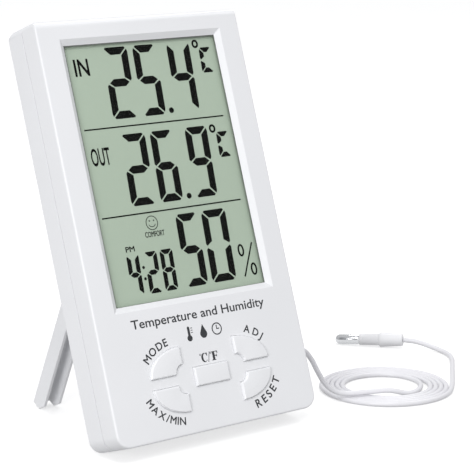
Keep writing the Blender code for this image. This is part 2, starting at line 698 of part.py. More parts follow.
def make_lead(case):
    grommet = [(1.7, 44.15), (1.7, 41.45), (2.8, 41.45), (2.8, 39.9), (1.15, 39.9), (1.15, 44.15),
               (1.7, 44.15)]
    turned("lead_grommet", grommet, "white_rubber", case, (0, SEAM_Y, LEAD_EXIT_Z),
           (0, math.pi / 2, 0))
    inner = [(39.5, SEAM_Y, 22), (37.8, SEAM_Y, 22.6), (36, 8.9, 25), (34.6, 8.7, 28.5)]
    tube("lead_inside", inner, 0.8, "lead_white", case, spacing=2.5)
    tube("lead_to_coil", LEAD_ROUTE, LEAD_RADIUS, "lead_white", spacing=4.5)
    ring = [(COIL_OUTER - 0.6, COIL_HEIGHT), (COIL_OUTER, COIL_HEIGHT / 2), (COIL_OUTER - 0.6, 0),
            (COIL_INNER + 0.6, 0), (COIL_INNER, COIL_HEIGHT / 2), (COIL_INNER + 0.6, COIL_HEIGHT),
            (COIL_OUTER - 0.6, COIL_HEIGHT)]
    turned("lead_coil", ring, "lead_white", None, (*COIL_CENTRE, 0), (0, 0, 0), 48)
    tube("lead_to_probe", TAIL_ROUTE, LEAD_RADIUS, "lead_white", spacing=4.5)


def make_probe():
    """Sleeve and steel tip in line, with +Z of their frame along the probe."""
    tilt = (math.pi / 2 + PROBE_DIP, 0, PROBE_HEADING + math.pi / 2)
    frame = empty("probe_frame", None, PROBE_COLLAR, tilt)
    sleeve = [(0, SLEEVE_END), (1.9, SLEEVE_END), (2.3, SLEEVE_END - 0.4), (2.4, 1.2),
              (COLLAR_RADIUS - 0.2, 0.9), (COLLAR_RADIUS, 0.6), (COLLAR_RADIUS, -0.6), (2.95, -0.9),
              (2.5, -8.6), (2.2, -8.8), (0, -8.8)]
    turned("probe_sleeve", sleeve, "lead_white", frame, (0, 0, 0), (0, 0, 0), 28)
    nose = [(TIP_RADIUS * math.sin(a), NOSE_CENTRE + TIP_RADIUS * math.cos(a))
            for a in (0.4, 0.8, 1.2, math.pi / 2)]
    tip_start = SLEEVE_END + CLEARANCE
    tip = [(0, NOSE_CENTRE + TIP_RADIUS), *nose, (TIP_RADIUS, tip_start), (0, tip_start)]
    turned("probe_tip", tip, "bright_steel", frame, (0, 0, 0), (0, 0, 0), 28)


clear_scene()
PARTS = new_collection(OBJECT_NAME)
CUTTERS = new_collection("cutters")
FINISHES = {
    "white_plastic": new_material("white_plastic", (0.87, 0.88, 0.9), 0.35),
    "clear_plastic": new_material("clear_plastic", (0.95, 0.97, 0.96), 0.05, transmission=1.0),
    "lcd_glass": new_material("lcd_glass", (0.42, 0.5, 0.41), 0.25),
    "rubber": new_material("rubber", (0.55, 0.56, 0.58), 0.7),
    "white_rubber": new_material("white_rubber", (0.85, 0.85, 0.86), 0.55),
    "lead_white": new_material("lead_white", (0.86, 0.86, 0.88), 0.4),
    "board_green": new_material("board_green", (0.05, 0.22, 0.1), 0.45),
    "black_resin": new_material("black_resin", (0.02, 0.02, 0.02), 0.4),
    "blue_plastic": new_material("blue_plastic", (0.1, 0.3, 0.6), 0.4),
    "bright_steel": new_material("bright_steel", (0.75, 0.76, 0.78), 0.2, metallic=1.0),
    "screw_steel": new_material("screw_steel", (0.6, 0.6, 0.62), 0.3, metallic=1.0),
    "cell_wrap": new_material("cell_wrap", (0.12, 0.3, 0.16), 0.3),
    "red_wire": new_material("red_wire", (0.6, 0.03, 0.03), 0.4),
    "black_wire": new_material("black_wire", (0.02, 0.02, 0.02), 0.4),
}
case_frame = empty("case_frame", None, (0, *lean(0, 0)), (-CASE_LEAN, 0, 0))
make_front_case(case_frame)
make_rear_case(case_frame)
make_screws(case_frame)
make_display(case_frame)
make_keys(case_frame)
make_board(case_frame)
make_battery(case_frame)
make_stand(case_frame)
make_lead(case_frame)
make_probe()
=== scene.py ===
"""Looks of the desk thermometer: shells, display, printing, keys, stand, lead and probe.

Lengths in the helpers are millimetres. Pieces on the case are drawn in the case frame, where X runs
across the width, Y from the front face (0) to the back and Z from the bottom edge to the top. The
frame's own record says where that is, and mesh points are stored in the row frame, in metres.
"""
import json
import math
from functools import partial

import bmesh
import bpy
from mathutils import Matrix, Vector


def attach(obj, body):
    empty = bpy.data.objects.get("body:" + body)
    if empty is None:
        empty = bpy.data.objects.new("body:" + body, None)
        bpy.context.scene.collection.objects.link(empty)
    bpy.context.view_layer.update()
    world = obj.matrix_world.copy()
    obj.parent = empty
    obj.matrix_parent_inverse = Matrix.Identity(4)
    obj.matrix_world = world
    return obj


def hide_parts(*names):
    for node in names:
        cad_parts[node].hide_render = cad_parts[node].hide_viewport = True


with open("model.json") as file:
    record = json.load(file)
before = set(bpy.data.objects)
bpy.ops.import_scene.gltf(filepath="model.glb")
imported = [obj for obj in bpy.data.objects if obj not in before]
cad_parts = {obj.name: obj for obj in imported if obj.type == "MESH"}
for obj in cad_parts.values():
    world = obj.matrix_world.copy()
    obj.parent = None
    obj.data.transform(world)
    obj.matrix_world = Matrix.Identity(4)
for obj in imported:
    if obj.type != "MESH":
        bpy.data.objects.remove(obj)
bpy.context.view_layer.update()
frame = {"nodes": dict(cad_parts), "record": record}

MM = 0.001
NODES = frame["nodes"]

# The case frame, from the mount on the back face: its point is (0, 18.8, 45) there
CASE_DEPTH = 18.8
CASE_HEIGHT = 150.0
BACK_MOUNT_Z = 45.0
BACK_MOUNT = next(m for m in frame["record"]["mounts"] if m["name"] == "back_face")
DEPTH_AXIS = Vector(BACK_MOUNT["axis"]).normalized()
HEIGHT_AXIS = Vector((1, 0, 0)).cross(DEPTH_AXIS)
CASE_ORIGIN = Vector(BACK_MOUNT["pos_m"]) / MM - CASE_DEPTH * DEPTH_AXIS - BACK_MOUNT_Z * HEIGHT_AXIS
CASE = Matrix.Translation(CASE_ORIGIN) @ Matrix((
    (1, DEPTH_AXIS.x, HEIGHT_AXIS.x, 0),
    (0, DEPTH_AXIS.y, HEIGHT_AXIS.y, 0),
    (0, DEPTH_AXIS.z, HEIGHT_AXIS.z, 0),
    (0, 0, 0, 1)))

# Camera: its place is in metres from the middle of the case's front face
FOCAL_LENGTH = 147.1
SENSOR_WIDTH = 36.0
CAMERA_OFFSET = (-0.3987, -0.5428, 0.1323)
CAMERA_TILT = 78.36
CAMERA_TURN = -38.02

# Light: the sky's brightness from straight down (0) to straight up (1), and the lamps, each with its
# place, target and width in metres and its power in watts
SKY = [(0.0, 0.35), (0.45, 0.5), (0.55, 0.65), (0.999, 0.8)]
SKY_TINT = (0.985, 0.99, 1.0)
LAMPS = [
    ("key_light", (-0.3, -0.55, 1.05), (0, 0, 0.07), 0.22, 2.9),
    ("side_light", (-0.97, -0.62, 0.4), (0, 0, 0.07), 0.5, 6.3),
    ("top_light", (0.7, 0.41, 0.95), (0, 0, 0.1), 0.4, 2.4),
]
FLOOR_REACH = 6.0
FLOOR_GLOW = 0.53

# Finishes: the noise values where a colour patch is darkest and lightest, the grain, and where the
# cell's bands start and end along X, in metres
PATCH_FROM = 0.3
PATCH_TO = 0.7
GRAIN_DETAIL = 4
GRAIN_STRENGTH = 0.5
SMOOTHEST = 0.02
LENS_ALPHA = 0.06
CELL_ENDS = (-0.022, 0.023)

# Which edges of the shells are rounded: their turn in degrees, and the room they need in widths.
# Other edges that turn by more than CREASE degrees stay sharp.
SHARP_FROM = 60
SHARP_TO = 110
ROOM = 2.2
CREASE = 31
FLAT_WITHIN = 0.5
WELD_METRES = 0.000001

# Display: depths behind the front face, and the window's half width, bottom and top
LCD_FRONT = 2.8
LENS_FRONT = 1.9
WINDOW = (32.75, 47.85, 140.75)
# The dark band that paints the window lip's shadow on the display: how far it shows inside the lip on
# each side, widest at the top and left where the shadow falls, and how far it runs on hidden behind the
# lip
SHADOW_BAND_SEEN = {"left": 0.36, "right": 0.12, "bottom": 0.15, "top": 0.36}
SHADOW_BAND_HIDDEN = 0.8
INK_HEIGHT = 0.04
INK = (LCD_FRONT - INK_HEIGHT, LCD_FRONT)

# Digits: the slant, the widths of their strokes, the width that segment_outlines is drawn for, and
# the strokes that each symbol lights
DIGIT_SLANT = math.tan(math.radians(2.3))
DIGIT_STROKE = 2.8
UNIT_STROKE = 1.85
CLOCK_STROKE = 1.75
DRAWN_STROKE = 2.55
LIT = {"0": "abcdef", "2": "abged", "4": "fgbc", "5": "afgcd", "6": "afgedc", "8": "abcdefg",
       "9": "abcdfg", "C": "afed"}

# The rest of the display, in X and Z; a word is (text, height, boldness, left, right, baseline)
POINT_RADIUS = 1.05
COLON = [(-17.45, 60.4), (-17.6, 56.4)]
COLON_RADIUS = 0.55
DEGREE_X = 24.3
DEGREE_RADII = (1.05, 1.2)
DEGREE_LINE = 0.8
PERCENT_RINGS = [(25.9, 60.9), (30.1, 53.5)]
PERCENT_RADII = (1.05, 1.95)
PERCENT_LINE = 0.75
PERCENT_SLASH = ((25.4, 51.2), (31.4, 63.2), 0.6)
DIVIDER_ENDS = (-30.4, 30.5)
DIVIDERS_Z = (110.7, 79.3)
DIVIDER_WIDTH = 0.5
WORDS = [("IN", 6.3, 0.016, -29.4, -23.3, 129.9), ("OUT", 6.4, 0.014, -29.8, -21.9, 97.9),
         ("COMFORT", 2.0, 0.012, -14.0, -5.7, 70.6), ("PM", 2.0, 0.016, -23.4, -19.6, 66.5)]
FACE_CENTRE = (-10.2, 75.5)
FACE_RADIUS = 2.45
FACE_LINE = 0.26
EYES = [(-11.1, 76.3), (-9.3, 76.3)]
EYE_RADIUS = 0.28
SMILE_CENTRE = (-10.2, 75.4)
SMILE_RADII = (1.45, 1.3)
SMILE_LINE = 0.24

# Keys: a petal is a quarter oval, and its side and level say which quarter. FILL and FLANGE are how
# far the cap and the flange behind it grow past the key's outline.
KEYS_CENTRE_Z = 19.4
PETALS = {"key_mode": (-1, 1), "key_adjust": (1, 1), "key_max_min": (-1, -1), "key_reset": (1, -1)}
PETAL_X = 11.9
PETAL_RISE = 2.1
PETAL_WIDTH = 13.6
PETAL_HEIGHT = 9.2
PETAL_NOTCH = 3.3
UNIT_KEY_WIDTH = 14.3
UNIT_KEY_HEIGHT = 6.3
KEY_PROUD = 1.0
KEY_EDGE = 0.45
KEY_EDGE_STEPS = 5
KEY_DRAFT = 0.22
KEY_FILL = 0.31
KEY_FLANGE = 0.9
KEY_FLANGE_FRONT = 2.5
KEY_FLANGE_BACK = 3.3

# Printing: its front and back, the same for a stroke that crosses another, and the height of the
# font's capitals. A key's label is (text, side, level, first angle, last angle, capitals' height).
PRINT = (-0.03, 0.0)
PRINT_OVER = (-0.034, 0.0)
CAPITAL = 0.73
TITLE_HEIGHT = 3.3
UNIT_HEIGHT = 3.2
LABEL_BOLD = 0.02
LABEL_OFFSET = 3.1
LABEL_GAP = 0.55
LABEL_STEPS = 200
KEY_LABELS = [("MODE", -1, 1, 35.5, 72.5, 2.9), ("ADJ", 1, 1, 64.0, 37.5, 2.8),
              ("MAX/MIN", -1, -1, 18.0, 76.0, 2.75), ("RESET", 1, -1, 70.0, 23.0, 3.1)]

# Screws: radii with the distance from the back of the head, and from the tip
SCREW_HEAD = [(0, 0), (1.2, 0), (1.6, -0.08), (1.88, -0.28), (2.0, -0.6), (2.0, -1.5), (1.0, -1.5)]
SCREW_TIP = [(0.8, 0.9), (0, 0)]
THREAD_START = 1.7
THREAD_STOP = 1.2
THREAD_RADIUS = 1.0
THREAD_DEPTH = 0.18
THREAD_PITCH = 0.8
CROSS_TURN = 0.5
CROSS_REACH = 1.05
CROSS_WIDTH = 0.42
CROSS_DEPTH = 0.75

# Lead and probe, as in the CAD, in the row frame. The probe's profiles are radii with the distance
# from the sleeve's collar towards the tip.
LEAD_RADIUS = 1.0
LEAD_IN_GROMMET = (42.6, -24.45, 23.8)
LEAD_ROUTE = [
    (44.45, -24.45, 23.8), (47.2, -24.4, 23.65), (50.6, -24.3, 22.2), (54.0, -24.3, 18.5),
    (57.0, -24.6, 13.3), (60.0, -25.2, 8.45), (63.5, -26.4, 5.0), (67.5, -28.0, 3.6),
    (72.0, -29.8, 3.4), (76.5, -31.5, 3.4), (80.5, -33.0, 3.4), (84.0, -34.4, 3.3),
    (87.2, -35.5, 2.6), (90.5, -36.4, 1.6), (94.0, -36.8, 1.1), (97.4, -36.0, 1.02),
]
TAIL_ROUTE = [
    (118.9, -33.6, 1.02), (124.5, -27.8, 1.02), (130.0, -22.1, 1.02), (135.6, -16.3, 1.02),
    (141.0, -10.4, 1.02), (144.6, -4.6, 1.02), (146.1, 1.6, 1.2), (145.3, 7.4, 2.0),
    (143.0, 12.1, 3.1), (139.4, 16.74, 3.6),
]
COIL_CENTRE = (92.6, -23.3)
COIL_LIE = 1.02
COIL_ENTRY_ANGLE = -45.0
COIL_ENTRY_RADIUS = 13.6
SPIRAL_ANGLE = 30.0
SPIRAL_RADIUS = 15.9
SPIRAL_PITCH = 2.02
COIL_STEP = 15.0
COIL_STEPS = 120
PROBE_COLLAR = (133.8, 23.9, 3.15)
PROBE_HEADING = math.radians(128.0)
PROBE_DIP = math.radians(3.0)
SLEEVE = [(0, 9.6), (1.95, 9.6), (2.2, 9.5), (2.3, 9.25), (2.33, 8.4), (2.27, 8.2), (2.33, 8.0),
          (2.42, 1.4), (2.55, 1.15), (2.85, 1.0), (3.02, 0.75), (3.1, 0.4), (3.08, -0.3),
          (2.98, -0.75), (2.9, -1.2), (2.55, -8.2), (2.45, -8.6), (2.25, -8.8), (0, -8.8)]
TIP_RADIUS = 2.05
TIP_NOSE = 17.8
TIP_FOOT = [(TIP_RADIUS, 10.3), (1.95, 10.1), (1.95, 9.65), (0, 9.65)]

# CAD pieces that keep their shape, and their finishes
PAINTED = {
    "lcd_retainer": "case", "zebra_strip": "strip", "key_mat": "mat", "main_board": "board",
    "chip_cover": "chip", "quartz_crystal": "crystal", "humidity_sensor": "sensor",
    "indoor_thermistor": "chip", "battery_spring": "contact", "minus_contact": "contact",
    "plus_contact": "contact", "battery_cell": "cell", "battery_wire_minus": "black",
    "battery_wire_plus": "red", "lead_inside": "lead", "lcd_glass": "lcd", "display_lens": "lens",
    "lead_grommet": "grommet",
}


# ---------------------------------------------------------------- camera, light and floor

def make_camera():
    lens = bpy.data.cameras.new("camera")
    lens.lens = FOCAL_LENGTH
    lens.sensor_width = SENSOR_WIDTH
    lens.clip_start = 0.01
    eye = bpy.data.objects.new("camera", lens)
    eye.location = CASE @ Vector((0, 0, CASE_HEIGHT / 2)) * MM + Vector(CAMERA_OFFSET)
    eye.rotation_euler = (math.radians(CAMERA_TILT), 0, math.radians(CAMERA_TURN))
    bpy.context.scene.collection.objects.link(eye)
    bpy.context.scene.camera = eye


def area_light(name, place, target, width, power):
    lamp = bpy.data.lights.new(name, "AREA")
    lamp.shape = "DISK"
    lamp.size = width
    lamp.energy = power
    holder = bpy.data.objects.new(name, lamp)
    holder.location = place
    aim = Vector(target) - Vector(place)
    holder.rotation_euler = aim.to_track_quat("-Z", "Y").to_euler()
    bpy.context.scene.collection.objects.link(holder)


def fill_ramp(ramp, stops):
    """Give a new ramp these (position, colour) stops, the first at 0, and take its own end away."""
    for number, (position, colour) in enumerate(stops):
        stop = ramp.elements[0] if number == 0 else ramp.elements.new(position)
        stop.position = position
        stop.color = (*colour, 1)
    ramp.elements.remove(ramp.elements[-1])


def make_world():
    """A pale sky that darkens towards the floor."""
    world = bpy.data.worlds.new("studio")
    world.use_nodes = True
    nodes, links = world.node_tree.nodes, world.node_tree.links
    coords = nodes.new("ShaderNodeTexCoord")
    split = nodes.new("ShaderNodeSeparateXYZ")
    links.new(coords.outputs["Generated"], split.inputs["Vector"])
    height = nodes.new("ShaderNodeMapRange")
    height.inputs["From Min"].default_value = -1.0
    links.new(split.outputs["Z"], height.inputs["Value"])
    sky = nodes.new("ShaderNodeValToRGB")
    fill_ramp(sky.color_ramp, [(share, [light * tint for tint in SKY_TINT]) for share, light in SKY])
    links.new(height.outputs["Result"], sky.inputs["Fac"])
    links.new(sky.outputs["Color"], nodes["Background"].inputs["Color"])
    bpy.context.scene.world = world


def make_studio():
    make_world()
    bpy.context.scene.view_settings.view_transform = "Standard"
    for lamp in LAMPS:
        area_light(*lamp)

    grid = bmesh.new()
    bmesh.ops.create_grid(grid, x_segments=1, y_segments=1, size=FLOOR_REACH)
    mesh = bpy.data.meshes.new("floor")
    grid.to_mesh(mesh)
    grid.free()
    floor = bpy.data.objects.new("floor", mesh)
    white = surface("floor_white", (0.6, 0.6, 0.6), 0.8, grain=40, depth=0.0, specular=0.1)
    shader = white.node_tree.nodes["Principled BSDF"]
    shader.inputs["Emission Color"].default_value = (1, 1, 1, 1)
    shader.inputs["Emission Strength"].default_value = FLOOR_GLOW
    floor.data.materials.append(white)
    floor.visible_diffuse = False
    bpy.context.scene.collection.objects.link(floor)


# ---------------------------------------------------------------- materials

def surface(name, colour, roughness, metallic=0.0, tint=0.012, patch=35.0, grain=900.0, depth=0.00001,
            spread=0.05, specular=0.5):
    """A procedural finish: broad colour patches, and fine grain in the roughness and the bump."""
    material = bpy.data.materials.new(name)
    material.use_nodes = True
    nodes, links = material.node_tree.nodes, material.node_tree.links
    shader = nodes["Principled BSDF"]
    shader.inputs["Metallic"].default_value = metallic
    shader.inputs["Specular IOR Level"].default_value = specular
    coords = nodes.new("ShaderNodeTexCoord")

    broad = nodes.new("ShaderNodeTexNoise")
    broad.inputs["Scale"].default_value = patch
    links.new(coords.outputs["Object"], broad.inputs["Vector"])
    shades = nodes.new("ShaderNodeValToRGB")
    shades.color_ramp.elements[0].position = PATCH_FROM
    shades.color_ramp.elements[1].position = PATCH_TO
    shades.color_ramp.elements[0].color = (*[c * (1 - tint) for c in colour], 1)
    shades.color_ramp.elements[1].color = (*[min(1, c * (1 + tint)) for c in colour], 1)
    links.new(broad.outputs["Fac"], shades.inputs["Fac"])
    links.new(shades.outputs["Color"], shader.inputs["Base Color"])

    fine = nodes.new("ShaderNodeTexNoise")
    fine.inputs["Scale"].default_value = grain
    fine.inputs["Detail"].default_value = GRAIN_DETAIL
    links.new(coords.outputs["Object"], fine.inputs["Vector"])
    gloss = nodes.new("ShaderNodeMapRange")
    gloss.inputs["To Min"].default_value = max(SMOOTHEST, roughness - spread)
    gloss.inputs["To Max"].default_value = min(1.0, roughness + spread)
    links.new(fine.outputs["Fac"], gloss.inputs["Value"])
    links.new(gloss.outputs["Result"], shader.inputs["Roughness"])
    if depth > 0:
        bump = nodes.new("ShaderNodeBump")
        bump.inputs["Strength"].default_value = GRAIN_STRENGTH
        bump.inputs["Distance"].default_value = depth
        links.new(fine.outputs["Fac"], bump.inputs["Height"])
        links.new(bump.outputs["Normal"], shader.inputs["Normal"])
    return material


def clear_plastic():
    material = surface("lens_clear", (0.02, 0.022, 0.02), 0.06, tint=0.005, depth=0.0, spread=0.02)
    material.node_tree.nodes["Principled BSDF"].inputs["Alpha"].default_value = LENS_ALPHA
    return material


def banded(name, bands, ends, roughness):
    """Bands of colour along the row frame's X: pairs of (share of the way between the ends, colour)."""
    material = surface(name, bands[0][1], roughness)
    nodes, links = material.node_tree.nodes, material.node_tree.links
    coords = nodes.new("ShaderNodeTexCoord")
    split = nodes.new("ShaderNodeSeparateXYZ")
    links.new(coords.outputs["Object"], split.inputs["Vector"])
    along = nodes.new("ShaderNodeMapRange")
    along.inputs["From Min"].default_value, along.inputs["From Max"].default_value = ends
    links.new(split.outputs["X"], along.inputs["Value"])
    ramp = nodes.new("ShaderNodeValToRGB")
    ramp.color_ramp.interpolation = "CONSTANT"
    fill_ramp(ramp.color_ramp, bands)
    links.new(along.outputs["Result"], ramp.inputs["Fac"])
    links.new(ramp.outputs["Color"], nodes["Principled BSDF"].inputs["Base Color"])
    return material


def make_finishes():
    cell_bands = [(0, (0.55, 0.55, 0.56)), (0.05, (0.02, 0.12, 0.05)), (0.62, (0.7, 0.52, 0.16)),
                  (0.66, (0.03, 0.03, 0.03)), (0.93, (0.6, 0.6, 0.61))]
    return {
        "case": surface("case_white", (0.785, 0.79, 0.81), 0.42, grain=1400, depth=0.000012),
        "key": surface("key_white", (0.8, 0.805, 0.825), 0.3, grain=1100, depth=0.000006),
        "frame": surface("frame_white", (0.785, 0.79, 0.81), 0.42, grain=1400, depth=0.000012),
        "lens": clear_plastic(),
        "lcd": surface("lcd_green", (0.515, 0.62, 0.5), 0.3, tint=0.02, patch=18, grain=2600,
                       depth=0.0, specular=0.15),
        "lcd_ink": surface("lcd_ink", (0.003, 0.0035, 0.003), 0.4, tint=0.1, patch=60, grain=1500,
                           depth=0.0, specular=0.05),
        # Painted shadow: the grey of the band that stands in for the shade under the window's lip
        "lip_shadow": surface("lip_shadow_grey", (0.16, 0.175, 0.16), 0.5, tint=0.08, patch=90, grain=2000,
                          depth=0.0, specular=0.2),
        "print": surface("print_grey", (0.035, 0.037, 0.041), 0.5, tint=0.12, patch=400, grain=3000,
                         depth=0.000004, specular=0.3),
        "strip": surface("strip_rubber", (0.5, 0.36, 0.38), 0.6, grain=2500),
        "mat": surface("mat_rubber", (0.6, 0.61, 0.62), 0.65, grain=1500),
        "grommet": surface("grommet_white", (0.78, 0.78, 0.79), 0.5, grain=1800, depth=0.00002),
        "lead": surface("lead_white", (0.76, 0.755, 0.785), 0.33, patch=120, grain=700, depth=0.00002),
        "sleeve": surface("sleeve_white", (0.83, 0.83, 0.85), 0.38, grain=1000, depth=0.00001),
        "probe": surface("probe_steel", (0.62, 0.63, 0.645), 0.16, 1.0, patch=60, grain=3000,
                         depth=0.0000005, spread=0.03),
        "contact": surface("contact_steel", (0.7, 0.7, 0.68), 0.25, 1.0, grain=900, depth=0.000006),
        "crystal": surface("crystal_steel", (0.72, 0.73, 0.75), 0.2, 1.0, grain=700, depth=0.000003),
        "screw": surface("screw_steel", (0.62, 0.63, 0.66), 0.28, 1.0, grain=1200, depth=0.00001),
        "board": surface("board_green", (0.03, 0.19, 0.08), 0.35, tint=0.15, patch=220, grain=1800),
        "chip": surface("chip_black", (0.015, 0.015, 0.016), 0.32, tint=0.2, grain=1500, depth=0.00003),
        "sensor": surface("sensor_blue", (0.05, 0.2, 0.5), 0.45, grain=1200, depth=0.00002),
        "cell": banded("cell_wrap", cell_bands, CELL_ENDS, 0.25),
        "red": surface("wire_red", (0.5, 0.02, 0.02), 0.4, grain=900),
        "black": surface("wire_black", (0.015, 0.015, 0.016), 0.4, grain=900),
    }


# ---------------------------------------------------------------- pieces

def piece(name, bm, finish, body="case", place=CASE, smooth=35, replaces=()):
    """A mesh drawn in millimetres becomes a piece that rides on a body."""
    bmesh.ops.recalc_face_normals(bm, faces=bm.faces)
    mesh = bpy.data.meshes.new(name)
    bm.to_mesh(mesh)
    bm.free()
    mesh.transform(Matrix.Scale(MM, 4) @ place)
    mesh.shade_smooth()
    mesh.set_sharp_from_angle(angle=math.radians(smooth))
    mesh.materials.append(FINISHES[finish])
    made = bpy.data.objects.new(name, mesh)
    bpy.context.scene.collection.objects.link(made)
    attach(made, body)
    for node in replaces:
        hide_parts(node)
    return made


def mark_edges(bm, width):
    """Weight the outward edges of about a right angle that have room for a rounding, and crease
    the other steep ones."""
    weights = bm.edges.layers.float.new("bevel_weight_edge")
    for edge in bm.edges:
        turn = math.degrees(edge.calc_face_angle_signed(0))
        beside = [other for vert in edge.verts for other in vert.link_edges]
        room = min(other.calc_length() for other in beside)
        if SHARP_FROM < turn < SHARP_TO and room > ROOM * width:
            edge[weights] = 1.0
        elif abs(turn) > CREASE:
            edge.smooth = False


def refined(node, finish, body="case", width=0.12):
    """A CAD piece with its faceting joined up and its sharp edges slightly rounded."""
    mesh = NODES[node].data.copy()
    bm = bmesh.new()
    bm.from_mesh(mesh)
    bmesh.ops.remove_doubles(bm, verts=bm.verts, dist=WELD_METRES)
    bmesh.ops.dissolve_limit(bm, angle_limit=math.radians(FLAT_WITHIN), verts=bm.verts, edges=bm.edges)
    bmesh.ops.recalc_face_normals(bm, faces=bm.faces)
    for face in bm.faces:
        face.smooth = True
    mark_edges(bm, width * MM)
    mesh.clear_geometry()
    bm.to_mesh(mesh)
    bm.free()
    mesh.materials.clear()
    mesh.materials.append(FINISHES[finish])
    made = bpy.data.objects.new(node + "_surface", mesh)
    bpy.context.scene.collection.objects.link(made)
    rounding = made.modifiers.new("Edges", "BEVEL")
    rounding.width = width * MM
    rounding.segments = 2
    rounding.limit_method = "WEIGHT"
    rounding.use_clamp_overlap = False
    rounding.harden_normals = True
    made.modifiers.new("Flats", "WEIGHTED_NORMAL").keep_sharp = True
    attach(made, body)
    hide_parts(node)


def paint(node, finish):
    """A CAD piece that keeps its shape takes a finish."""
    NODES[node].data.materials.clear()
    NODES[node].data.materials.append(FINISHES[finish])


def flat_shape(outlines, front, back):
    """Outlines in X and Z, thickened along Y; each outline is its own island."""
    bm = bmesh.new()
    for outline in outlines:
        rims = [[bm.verts.new((x, y, z)) for x, z in outline] for y in (front, back)]
        bm.faces.new(rims[0])
        bm.faces.new(rims[1][::-1])
        for i in range(len(outline)):
            j = (i + 1) % len(outline)
            bm.faces.new((rims[0][i], rims[1][i], rims[1][j], rims[0][j]))
    return bm


def ring_shape(centre, radii, line, front, back, count=32):
    """A thin upright oval ring."""
    bm = bmesh.new()
    turns = [2 * math.pi * i / count for i in range(count)]
    loops = []
    for y in (front, back):
        for grow in (line / 2, -line / 2):
            loops.append([bm.verts.new((centre[0] + (radii[0] + grow) * math.cos(turn), y,
                                        centre[1] + (radii[1] + grow) * math.sin(turn)))
                          for turn in turns])
    outer_front, inner_front, outer_back, inner_back = loops
    for a, b in ((outer_front, inner_front), (outer_back, inner_back),
                 (outer_front, outer_back), (inner_front, inner_back)):
        for i in range(count):
            j = (i + 1) % count
            bm.faces.new((a[i], a[j], b[j], b[i]))
    return bm


def oval_arc(centre, radii, start, end, count):
    """Points along an oval, between two angles in degrees."""
    angles = [math.radians(start + (end - start) * i / (count - 1)) for i in range(count)]
    return [(centre[0] + radii[0] * math.cos(a), centre[1] + radii[1] * math.sin(a)) for a in angles]


def disc(centre, radius, count=24):
    return [(centre[0] + radius * math.cos(2 * math.pi * i / count),
             centre[1] + radius * math.sin(2 * math.pi * i / count)) for i in range(count)]


def stroke(start, end, width):
    """The outline of a straight line of a given width."""
    side = Vector((end[1] - start[1], start[0] - end[0])).normalized() * width / 2
    start, end = Vector(start), Vector(end)
    return [tuple(p) for p in (start + side, end + side, end - side, start - side)]


def merged(*pieces):
    """Several meshes in one; each stays its own island."""
    whole = bmesh.new()
    for part in pieces:
        mesh = bpy.data.meshes.new("part")
        part.to_mesh(mesh)
        part.free()
        whole.from_mesh(mesh)
        bpy.data.meshes.remove(mesh)
    return whole


def lettering(text, height, bold=0.0):
    """Flat letters about the origin, upright in X and Z, with the capitals' height given."""
    curve = bpy.data.curves.new("letters", "FONT")
    curve.body = text
    curve.align_x = "CENTER"
    curve.extrude = 0.5  # one unit deep, until it is scaled below
    curve.bevel_depth = bold
    curve.bevel_resolution = 0
    curve.resolution_u = 4
    holder = bpy.data.objects.new("letters", curve)
    bpy.context.scene.collection.objects.link(holder)
    graph = bpy.context.evaluated_depsgraph_get()
    mesh = bpy.data.meshes.new_from_object(holder.evaluated_get(graph))
    bpy.data.objects.remove(holder)
    bm = bmesh.new()
    bm.from_mesh(mesh)
    bpy.data.meshes.remove(mesh)
    bmesh.ops.remove_doubles(bm, verts=bm.verts, dist=0.00001)
    bmesh.ops.scale(bm, verts=bm.verts, vec=(height / CAPITAL, height / CAPITAL, INK_HEIGHT))
    bmesh.ops.rotate(bm, verts=bm.verts, matrix=Matrix.Rotation(math.pi / 2, 3, "X"))
    return bm


def fit_letters(bm, left, right, baseline, y):
    """Stretch letters to a width and put them on a baseline."""
    low = min(v.co.x for v in bm.verts)
    high = max(v.co.x for v in bm.verts)
    bmesh.ops.scale(bm, verts=bm.verts, vec=((right - left) / (high - low), 1, 1))
    low = min(v.co.x for v in bm.verts)
    bmesh.ops.translate(bm, verts=bm.verts, vec=(left - low, y, baseline))
    return bm


def turned(profile, steps=48):
    """A profile of (radius, height) pairs turned about Z."""
    bm = bmesh.new()
    rows = []
    for radius, height in profile:
        if radius == 0:
            rows.append([bm.verts.new((0, 0, height))])
        else:
            rows.append([bm.verts.new((radius * math.cos(2 * math.pi * i / steps),
                                       radius * math.sin(2 * math.pi * i / steps), height))
                         for i in range(steps)])
    for a, b in zip(rows, rows[1:]):
        for i in range(steps):
            j = (i + 1) % steps
            if len(a) == 1:
                bm.faces.new((a[0], b[j], b[i]))
            elif len(b) == 1:
                bm.faces.new((a[i], a[j], b[0]))
            else:
                bm.faces.new((a[i], a[j], b[j], b[i]))
    return bm


# ---------------------------------------------------------------- lead and probe

def coil_points():
    """A flat spiral from the inside out, one lead width further out for each turn. Its first part
    swings out from the entry to the spiral."""
    points = []
    for i in range(COIL_STEPS + 1):
        angle = COIL_ENTRY_ANGLE + COIL_STEP * i
        if angle < SPIRAL_ANGLE:
            share = (angle - COIL_ENTRY_ANGLE) / (SPIRAL_ANGLE - COIL_ENTRY_ANGLE)
            radius = COIL_ENTRY_RADIUS + (SPIRAL_RADIUS - COIL_ENTRY_RADIUS) * share
        else:
            radius = SPIRAL_RADIUS + SPIRAL_PITCH * (angle - SPIRAL_ANGLE) / 360
        turn = math.radians(angle)
        points.append((COIL_CENTRE[0] + radius * math.cos(turn),
                       COIL_CENTRE[1] + radius * math.sin(turn), COIL_LIE))
    return points


